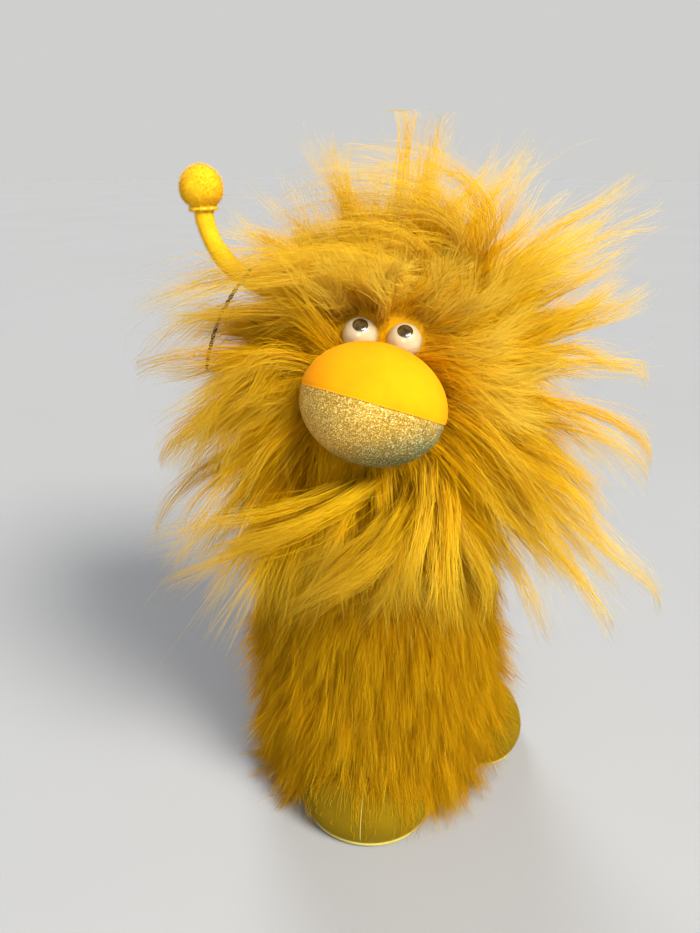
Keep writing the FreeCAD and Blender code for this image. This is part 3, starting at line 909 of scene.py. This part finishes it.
def skins(fur):
    """The cloth under the hair: a felted layer that hides any gap between strands."""
    rng = np.random.default_rng(5)

    def lumpy(ball):
        return 1.10 + 0.03 * np.sin(9 * ball[:, 0] + 2) * np.sin(11 * ball[:, 2]) * np.cos(8 * ball[:, 1])

    points, faces = ball_grid(SKULL, 60, 90, lumpy)
    points = points + SKULL_AT
    points[:, 2] = np.maximum(points[:, 2], BODY_TOP + 2 * MM)
    head = add_piece("head_skin", points, faces, fur, "head")
    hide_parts("head_panel_front", "head_panel_back")
    around = 96
    z = np.concatenate([[2.0 * MM], np.linspace(3 * MM, 133 * MM, 60)])
    angle = np.linspace(0, 2 * np.pi, around, endpoint=False)
    rows = []
    for height in z:
        radius = skin_radius(height) + 4 * MM
        rows.append(np.stack([radius * np.cos(angle), radius * np.sin(angle), 0 * angle + height], axis=1))
    points = np.concatenate(rows + [[[0, 0, 2.0 * MM]], [[0, 0, 134.5 * MM]]])
    body = add_piece("body_skin", points, tube_faces(len(z), around), fur, "body")
    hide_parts("body_panel_front", "body_panel_back")


def snout(velour, lame):
    """Two sewn panels over a stuffed ball, drawn in a little along their seam."""
    seam = 0.05

    def upper_shape(ball):
        return 1.002 - 0.009 * np.exp(-(ball[:, 2] / seam) ** 2)

    def lower_shape(ball):
        crease = 0.009 * np.exp(-((ball[:, 2] + 0.15) / 0.09) ** 2)
        return 0.998 - 0.010 * np.exp(-(ball[:, 2] / seam) ** 2) - crease

    for name, shape, sign, material, node in (
            ("snout_upper", upper_shape, 1, velour, "snout_panel_upper"),
            ("snout_lower", lower_shape, -1, lame, "snout_panel_lower")):
        points, faces = ball_grid(SNOUT_HALF, 128, 160, shape)
        points[:, 2] = np.where(sign * points[:, 2] < 0, 0, points[:, 2])
        points = points @ SNOUT_TURN.T + SNOUT_AT
        piece = add_piece(name, points, faces, material, "head")
        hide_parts(node)


def eyes(milk, pupil):
    """Milky balls, each with a thin dark cap as its pupil."""
    look = np.array([0, -math.cos(LOOK_UP), math.sin(LOOK_UP)])
    side_axis = np.array([1.0, 0, 0])
    up_axis = np.cross(side_axis, look)
    for side, at in EYES.items():
        points, faces = ball_grid(np.full(3, EYE_R), 40, 56)
        ball = add_piece("eye_" + side, points + at, faces, milk, "head")
        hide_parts("eye_ball_" + side)
        rings, around = 10, 40
        cap = []
        reach = math.asin(PUPIL_R / EYE_R)
        for r in range(rings + 1):
            tilt = reach * r / rings
            edge = 1.012 if r < rings else 0.985
            for k in range(around):
                a = 2 * math.pi * k / around
                cap.append(EYE_R * edge * (math.cos(tilt) * look + math.sin(tilt)
                           * (math.cos(a) * side_axis + math.sin(a) * up_axis)))
        disc = add_piece("pupil_" + side, np.array(cap) + at, ring_faces(rings + 1, around), pupil, "head")
        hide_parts("eye_pupil_" + side)


def lathe_along(line, radii, around, ruffle=None):
    """A closed tube along a line, with a radius at each step and an optional ruffle round it."""
    line = np.array(line)
    along = unit(np.gradient(line, axis=0))
    side = unit(np.cross(along, np.array([0.13, 0.97, 0.19])))
    other = np.cross(along, side)
    angle = np.linspace(0, 2 * np.pi, around, endpoint=False)
    points = []
    for index in range(len(line)):
        r = radii[index] * (1 + (ruffle[index] * np.cos(11 * angle) if ruffle is not None else 0 * angle))
        points.append(line[index] + r[:, None] * (np.cos(angle)[:, None] * side[index]
                                                  + np.sin(angle)[:, None] * other[index]))
    return np.concatenate(points + [line[:1], line[-1:]]), tube_faces(len(line), around)


def fuzz(name, points, normals, reach, material, body, rng):
    """Very short nap that stands on a sewn velour piece."""
    lean = unit(normals + rng.normal(scale=0.5, size=points.shape))
    t = np.linspace(0, 1, 3)[None, :, None]
    paths = points[:, None, :] - normals[:, None, :] * 0.1 * MM
    paths = paths + t * lean[:, None, :] * rng.uniform(0.4, 1.0, (len(points), 1, 1)) * reach
    width = rng.uniform(0.035, 0.06, len(points))[:, None] * MM * np.array([1.0, 0.8, 0.4])
    piece = strands(name, paths, width, rng.random(len(points)), material, body)


def spread_on(points, faces, count, rng):
    """Random points and outward normals on a mesh's faces, even in area."""
    corners = np.array([(f[0], f[k], f[k + 1]) for f in faces for k in range(1, len(f) - 1)])
    a, b, c = (np.array(points)[corners[:, k]] for k in range(3))
    cross = np.cross(b - a, c - a)
    area = np.linalg.norm(cross, axis=1)
    pick = rng.choice(len(corners), count, p=area / area.sum())
    u, v = rng.random(count), rng.random(count)
    over = u + v > 1
    u[over], v[over] = 1 - u[over], 1 - v[over]
    at = a[pick] + u[:, None] * (b - a)[pick] + v[:, None] * (c - a)[pick]
    return at, unit(cross[pick])


def antennae(velour, thread):
    """A bent stuffed stalk with a ball gathered onto its end, both with a short nap."""
    rng = np.random.default_rng(41)
    for side, (bend_r, bend, start, sense, facing) in STALK_BENDS.items():
        root, axis = joint(f"antenna_{side}_sway")
        outward = facing * np.array([axis[1], -axis[0], 0])
        up = np.array([0, 0, 1.0])
        line = []
        for step in range(41):
            heading = math.radians(start + sense * bend * step / 40)
            x = sense * bend_r * (math.sin(heading) - math.sin(math.radians(start)))
            z = -sense * bend_r * (math.cos(heading) - math.cos(math.radians(start)))
            line.append(root + outward * x + up * z)
        line = np.array(line)
        tip = unit(line[-1] - line[-2])
        radii = STALK_R * (1 + 0.05 * np.sin(np.linspace(0, 14, 41)))
        radii[-4:] *= np.array([0.98, 0.93, 0.9, 0.9])
        points, faces = lathe_along(line, radii, 28)
        stalk = add_piece(f"antenna_{side}_stem", points, faces, velour, f"antenna_{side}")
        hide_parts(f"antenna_{side}_stalk")
        at, normal = spread_on(points, faces, 4200, rng)
        fuzz(f"antenna_{side}_stem_nap", at, normal, 1.1 * MM, velour, f"antenna_{side}", rng)
        points, faces = lathe_along([line[-1] + tip * d for d in KNOB_ALONG], KNOB_R, 66, KNOB_RUFFLE)
        ball = add_piece(f"antenna_{side}_knob", points, faces, velour, f"antenna_{side}", level=1)
        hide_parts(f"antenna_{side}_ball")
        at, normal = spread_on(points, faces, 5200, rng)
        fuzz(f"antenna_{side}_knob_nap", at, normal, 1.3 * MM, velour, f"antenna_{side}", rng)
        thread_node = frame["nodes"][f"antenna_{side}_thread"]
        thread_node.material_slots[0].material = thread


def feet(velour, edge):
    """Plump velour tops on flat soles, with a welt round the sole and a seam over the toe."""
    for side in ("right", "left"):
        direction = foot_turn(side)

        def plump(ball):
            toe = 0.018 * np.exp(-(ball[:, 1] / 0.03) ** 2) * smooth(ball[:, 2], -0.5, 0.3)
            return 1 - toe

        points, faces = ball_grid(FOOT_HALF, 90, 140, plump)
        points = points + FOOT_MIDDLE[side]
        points[:, 2] = np.maximum(points[:, 2], FOOT_BOTTOM)
        heel = points[:, 0] < FOOT_HEEL + 0.25 * points[:, 2]
        points[heel, 0] = FOOT_HEEL + 0.25 * points[heel, 2]
        ring = np.linspace(0, 2 * np.pi, 160)
        low_cut = math.sqrt(1 - ((FOOT_MIDDLE[side][2] - WELT_Z) / FOOT_HALF[2]) ** 2)
        welt = np.stack([FOOT_HALF[0] * low_cut * np.cos(ring), FOOT_HALF[1] * low_cut * np.sin(ring), 0 * ring],
                        axis=1) * 1.012 + FOOT_MIDDLE[side]
        welt[:, 2] = WELT_Z
        welt = welt[welt[:, 0] > FOOT_HEEL + 1 * MM]
        welt = welt[np.argsort(np.arctan2(welt[:, 1], welt[:, 0] - FOOT_HEEL))]
        tube, loops = lathe_along(welt @ direction.T, np.full(len(welt), 0.75 * MM), 10)
        # The welt's pale colour is partly its own and partly painted sheen along the foot's lower rim.
        piping = add_piece(f"foot_{side}_welt", tube, loops, edge, f"foot_{side}")
        rise = np.linspace(-0.5, 1.2, 40)
        over = np.stack([FOOT_HALF[0] * np.cos(rise), 0 * rise, FOOT_HALF[2] * np.sin(rise)], axis=1) * 0.988
        over = over + FOOT_MIDDLE[side]
        over = over[(over[:, 2] > 2.6 * MM) & (over[:, 0] > FOOT_HEEL + 2 * MM)]
        tube, loops = lathe_along(over @ direction.T, np.full(len(over), 0.22 * MM), 8)
        fell = add_piece(f"foot_{side}_toe_seam", tube, loops, edge, f"foot_{side}")
        upper = add_piece(f"foot_{side}_top", points @ direction.T, faces, velour, f"foot_{side}")
        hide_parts(f"foot_{side}_upper")
        sole_node = frame["nodes"][f"foot_{side}_sole"]
        sole_node.material_slots[0].material = edge


def flank_cord(material):
    """Two plies twisted round the arc of the CAD cord."""
    low, high = span("flank_cord")
    centre = np.array([0, (low[1] + high[1]) / 2, SKULL_AT[2]])
    lowest = math.asin((low[2] - centre[2]) / CORD_BEND_R)
    highest = math.asin((high[2] - centre[2]) / CORD_BEND_R)
    angles = math.pi - np.linspace(lowest, highest, 200)
    for strand_index in range(2):
        line = []
        for a in angles:
            twist = a * CORD_BEND_R / (0.9 * MM) + strand_index * math.pi
            radius = CORD_BEND_R + PLY_OFF * math.cos(twist)
            line.append(centre + np.array([radius * math.cos(a), PLY_OFF * math.sin(twist), radius * math.sin(a)]))
        points, faces = lathe_along(line, np.full(len(line), PLY_R), 8)
        piece = add_piece(f"flank_cord_ply_{strand_index}", points, faces, material, "head")
        if strand_index == 0:
            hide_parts("flank_cord")


def inner_pieces():
    """Materials for the CAD pieces that are seen only when the part is taken apart."""
    stuffing = plain_cloth_material("fibre_filling", (0.86, 0.86, 0.82), (0.70, 0.70, 0.66))
    backing = plain_cloth_material("backing_cloth", (0.80, 0.52, 0.09), (0.60, 0.36, 0.05), 1800.0)
    board = plain_cloth_material("hardboard", (0.24, 0.14, 0.07), (0.16, 0.09, 0.04), 400.0)
    steel = plain_cloth_material("zinc_steel", (0.62, 0.62, 0.64), (0.48, 0.48, 0.50), 700.0)
    steel.node_tree.nodes["Principled BSDF"].inputs["Metallic"].default_value = 1.0
    steel.node_tree.nodes["Principled BSDF"].inputs["Roughness"].default_value = 0.35
    plastic = plain_cloth_material("washer_plastic", (0.80, 0.80, 0.79), (0.70, 0.70, 0.69), 300.0)
    looks = {"stuffing": stuffing, "core": stuffing, "cap": backing, "cover": backing, "board": board,
             "disc": board, "bolt": steel, "locknut": steel, "neck_washer": steel, "eye_washers": plastic,
             "pellet_bag": stuffing}
    for name, node in frame["nodes"].items():
        for key, material in looks.items():
            if key in name:
                node.material_slots[0].material = material


# ------------------------------------------------------------------ scene


FLOOR_R = 8.0
HORIZON = (0.625, 0.624, 0.616)      # the same as the lit floor, so that the two meet without a line
OVERHEAD = (0.25, 0.255, 0.265)


def sky():
    """A plain pale surround that is dimmer overhead."""
    world = bpy.data.worlds.new("studio")
    world.use_nodes = True
    tree = world.node_tree
    place = tree.nodes.new("ShaderNodeTexCoord")
    axes = tree.nodes.new("ShaderNodeSeparateXYZ")
    ramp = tree.nodes.new("ShaderNodeValToRGB")
    tree.links.new(place.outputs["Generated"], axes.inputs["Vector"])
    tree.links.new(axes.outputs["Z"], ramp.inputs["Fac"])
    tree.links.new(ramp.outputs["Color"], tree.nodes["Background"].inputs["Color"])
    low_end, high_end = ramp.color_ramp.elements
    low_end.position, low_end.color = 0.30, (*HORIZON, 1)
    high_end.position, high_end.color = 0.75, (*OVERHEAD, 1)
    tree.nodes["Background"].inputs["Strength"].default_value = 1.0
    return world


def light(name, kind, at, energy, colour, aim=(0, 0, 0)):
    """A lamp that shines from at towards aim. Returns its settings."""
    data = bpy.data.lights.new(name, kind)
    data.energy = energy
    data.color = colour
    lamp = bpy.data.objects.new(name, data)
    lamp.location = at
    lamp.rotation_euler = (Vector(aim) - Vector(at)).to_track_quat("-Z", "Y").to_euler()
    bpy.context.scene.collection.objects.link(lamp)
    return data


def studio():
    """A pale floor under distant soft lamps, with a small lamp close to the face, and the photo's camera."""
    scene = bpy.context.scene
    scene.view_settings.view_transform = "Standard"
    angles = [2 * math.pi * k / 64 for k in range(64)]
    mesh = bpy.data.meshes.new("floor")
    mesh.from_pydata([(FLOOR_R * math.cos(a), FLOOR_R * math.sin(a), 0) for a in angles], [],
                     [tuple(range(len(angles)))])
    mesh.materials.append(floor_material())
    floor = bpy.data.objects.new("floor", mesh)
    scene.collection.objects.link(floor)
    scene.world = sky()
    light("key", "SUN", (1.30, -1.20, 1.50), 5.1, (1.0, 0.96, 0.88)).angle = math.radians(24)
    light("fill", "SUN", (-0.25, -1.50, 0.35), 0.9, (1.0, 0.94, 0.84)).angle = math.radians(30)
    light("face", "AREA", (0.12, -0.34, 0.52), 1.2, (1.0, 0.95, 0.86), aim=(0.0, -0.04, 0.225)).size = 0.12
    light("rim", "SUN", (-0.4, 1.5, 1.2), 2.2, (0.95, 0.97, 1.0)).angle = math.radians(24)
    data = bpy.data.cameras.new("camera")
    data.sensor_fit = "HORIZONTAL"
    data.sensor_width = 36.0
    data.lens = 37.3
    camera = bpy.data.objects.new("camera", data)
    camera.location = (-0.014, -0.290, 0.279)
    camera.rotation_euler = (math.radians(90 - 23.6), 0, 0)
    scene.collection.objects.link(camera)
    scene.camera = camera


undercoat, guard = undercoat_material(), wisp_material()
velour = velour_material("velour", (0.84, 0.31, 0.001), (0.77, 0.25, 0.001), sheen=(1.0, 0.6, 0.02, 1))
velour_ball = velour_material("velour_antenna", (0.78, 0.48, 0.012), (0.70, 0.37, 0.006))
velour_foot = velour_material("velour_foot", (0.19, 0.12, 0.0005), (0.14, 0.085, 0.0005),
                              sheen=(1.0, 0.7, 0.02, 1))
# The pale edge colour is the sole's and seams' own; on the welt round the sole it is partly painted sheen along the
# velour's lower rim.
edge = velour_material("sole_edge", (0.50, 0.44, 0.12), (0.40, 0.33, 0.06))
skins(undercoat)
mane(undercoat, guard)
down(undercoat)
body_coat(*shaded_body_coat_materials())
snout(velour, lame_material())
eyes(milk_material(), pupil_material())
antennae(velour_ball, plain_cloth_material("thread", (0.95, 0.62, 0.05), (0.75, 0.45, 0.03), 2500.0))
feet(velour_foot, edge)
flank_cord(cord_material())
inner_pieces()
studio()
bpy.context.view_layer.update()
